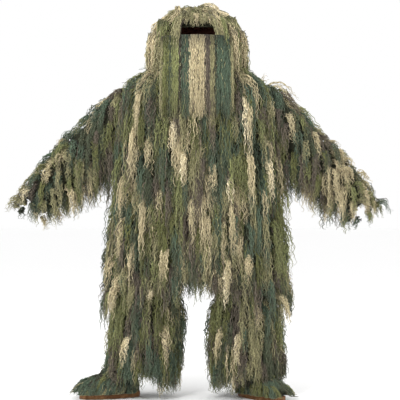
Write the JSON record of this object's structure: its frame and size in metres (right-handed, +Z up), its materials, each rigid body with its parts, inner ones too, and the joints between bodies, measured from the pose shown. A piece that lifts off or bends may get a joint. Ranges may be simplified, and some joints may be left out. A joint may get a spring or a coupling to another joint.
{
  "type": "ghillie suit",
  "caption": "Hooded camouflage suit covered in shaggy yarn fringe, with a face veil, zip jacket, trousers and overboots, standing with the arms held out.",
  "frame": {"origin": "on the floor under the middle of the suit's box", "axes": "+Z up, the suit faces -Y, the wearer's left is +X"},
  "size_m": [1.7848, 0.4975, 1.8485],
  "materials": {
    "fringe": "shaggy matt yarn in green, teal, straw and bark tones",
    "cloth": "matt woven cloth",
    "lining": "matt dark cloth",
    "tape": "woven tape",
    "elastic": "ribbed elastic",
    "sole": "worn tan leather",
    "metal": "darkened"
  },
  "bodies": {
    "suit": {"jacket_front_left": "cloth", "jacket_front_right": "cloth", "jacket_back": "cloth", "jacket_collar": "cloth", "hem_elastic": "elastic", "zip_tape_left": "tape", "zip_tape_right": "tape", "zip_box": "metal", "fringe_front_left": "fringe", "fringe_front_right": "fringe", "fringe_back": "fringe", "trouser_seat": "cloth", "waistband": "cloth", "waist_elastic": "elastic", "crotch_gusset": "cloth", "trouser_leg_left": "cloth", "fringe_leg_left": "fringe", "ankle_elastic_left": "elastic", "overboot_sole_left": "sole", "overboot_upper_left": "cloth", "fringe_boot_left": "fringe", "trouser_leg_right": "cloth", "fringe_leg_right": "fringe", "ankle_elastic_right": "elastic", "overboot_sole_right": "sole", "overboot_upper_right": "cloth", "fringe_boot_right": "fringe"},
    "hood": {"hood_left": "cloth", "hood_right": "cloth", "fringe_hood_left": "fringe", "fringe_hood_right": "fringe", "hood_brow": "cloth", "fringe_brow": "fringe", "hood_chin_strap": "cloth", "snap_socket_left": "metal", "snap_socket_right": "metal"},
    "veil": {"veil_band": "tape", "veil_cloth": "lining", "fringe_veil": "fringe", "snap_cap_left": "metal", "snap_cap_right": "metal"},
    "sleeve_left": {"sleeve_left": "cloth", "cuff_left": "elastic", "fringe_upper_arm_left": "fringe", "fringe_forearm_left": "fringe", "fringe_hanging_left": "fringe"},
    "sleeve_right": {"sleeve_right": "cloth", "cuff_right": "elastic", "fringe_upper_arm_right": "fringe", "fringe_forearm_right": "fringe", "fringe_hanging_right": "fringe"},
    "zip_slider": {"zip_slider": "metal"},
    "zip_pull": {"zip_pull": "metal"}
  },
  "joints": [
    {"name": "hood_fold", "type": "hinge", "parent": "suit", "child": "hood", "pos_m": [0, 0.197, 1.548], "axis": [-1, 0, 0], "range_deg": [0, 75]},
    {"name": "veil_lift", "type": "hinge", "parent": "hood", "child": "veil", "pos_m": [0, -0.02, 1.69], "axis": [-1, 0, 0], "range_deg": [0, 60]},
    {"name": "shoulder_left", "type": "hinge", "parent": "suit", "child": "sleeve_left", "pos_m": [0.285, 0.022, 1.395], "axis": [0, -1, 0], "range_deg": [-5, 30]},
    {"name": "shoulder_right", "type": "hinge", "parent": "suit", "child": "sleeve_right", "pos_m": [-0.285, 0.022, 1.395], "axis": [0, 1, 0], "range_deg": [-5, 30]},
    {"name": "zip_slide", "type": "slide", "parent": "suit", "child": "zip_slider", "axis": [0, 0, -1], "range_m": [0, 0.66]},
    {"name": "zip_pull_swing", "type": "hinge", "parent": "zip_slider", "child": "zip_pull", "pos_m": [0, -0.1695, 1.42], "axis": [-1, 0, 0], "range_deg": [0, 110]}
  ]
}
